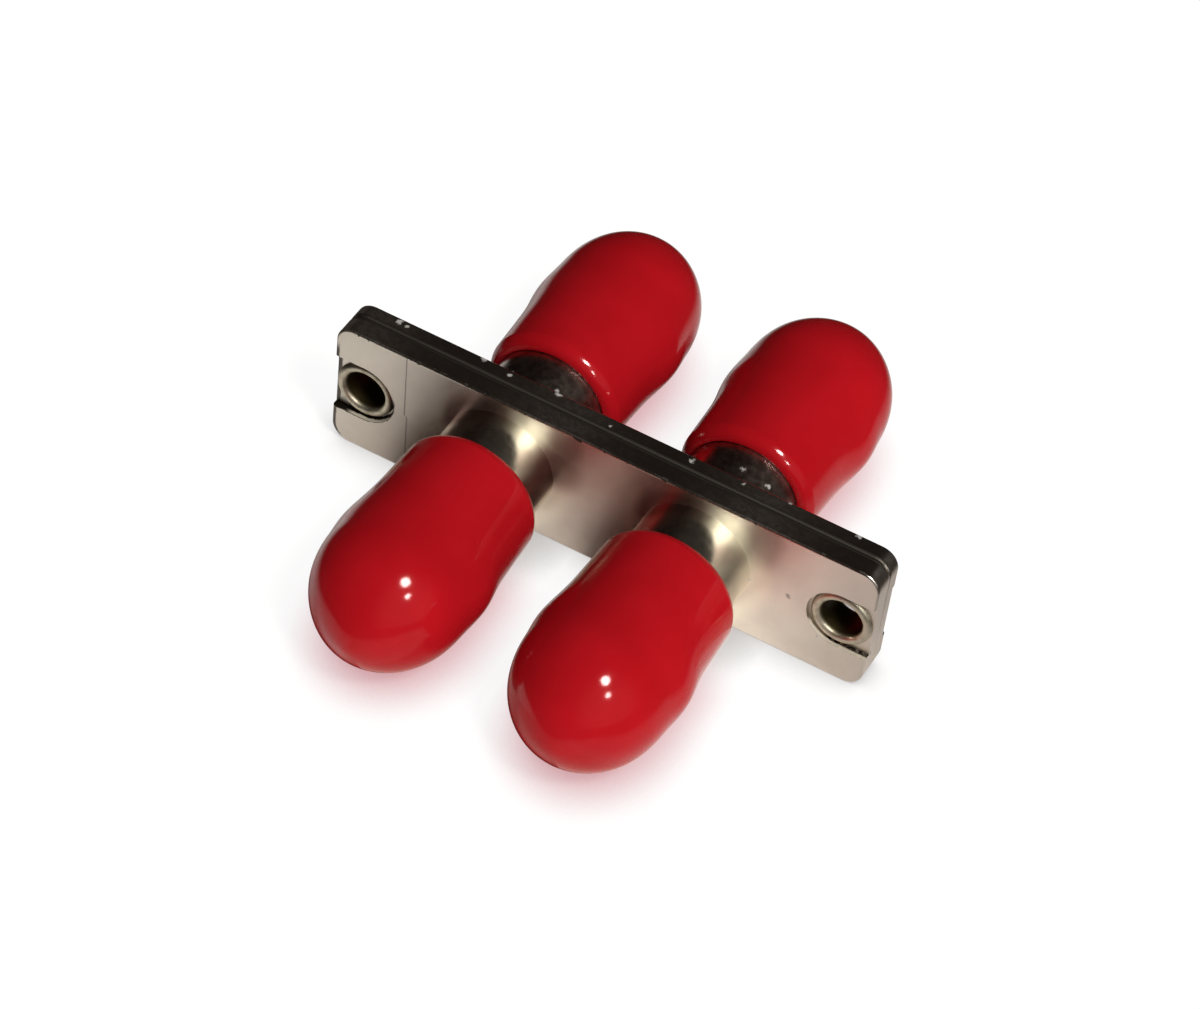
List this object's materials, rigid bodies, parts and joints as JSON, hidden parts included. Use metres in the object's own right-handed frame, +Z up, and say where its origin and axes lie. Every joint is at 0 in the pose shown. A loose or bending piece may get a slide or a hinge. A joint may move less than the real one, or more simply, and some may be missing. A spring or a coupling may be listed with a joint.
{
  "type": "duplex fibre optic coupler",
  "caption": "Duplex fibre coupler: a riveted metal flange with bayonet barrels side by side on both faces, each under a soft red dust cap.",
  "frame": {"origin": "on the seam between the two flange halves, midway between the barrels, on their axes' level", "axes": "+X along the flange, +Y along the barrels from front to rear, +Z up as it lies on a table"},
  "size_m": [0.0348, 0.0364, 0.0092],
  "materials": {
    "nickel": "satin nickel plate on a zinc die casting",
    "bronze": "phosphor bronze, smooth",
    "brass": "pale tinned brass, rolled",
    "vinyl": "glossy soft vinyl, dip-moulded"
  },
  "bodies": {
    "coupler": {"front_housing": "nickel", "rear_housing": "nickel", "left_sleeve": "bronze", "right_sleeve": "bronze", "left_eyelet": "brass", "right_eyelet": "brass"},
    "front_left_dust_cap": {"front_left_cap": "vinyl"},
    "front_right_dust_cap": {"front_right_cap": "vinyl"},
    "rear_left_dust_cap": {"rear_left_cap": "vinyl"},
    "rear_right_dust_cap": {"rear_right_cap": "vinyl"}
  },
  "joints": [
    {"name": "front_left_cap_pull", "type": "slide", "parent": "coupler", "child": "front_left_dust_cap", "axis": [0, -1, 0], "range_m": [0, 0.016]},
    {"name": "front_right_cap_pull", "type": "slide", "parent": "coupler", "child": "front_right_dust_cap", "axis": [0, -1, 0], "range_m": [0, 0.016]},
    {"name": "rear_left_cap_pull", "type": "slide", "parent": "coupler", "child": "rear_left_dust_cap", "axis": [0, 1, 0], "range_m": [0, 0.016]},
    {"name": "rear_right_cap_pull", "type": "slide", "parent": "coupler", "child": "rear_right_dust_cap", "axis": [0, 1, 0], "range_m": [0, 0.016]}
  ]
}
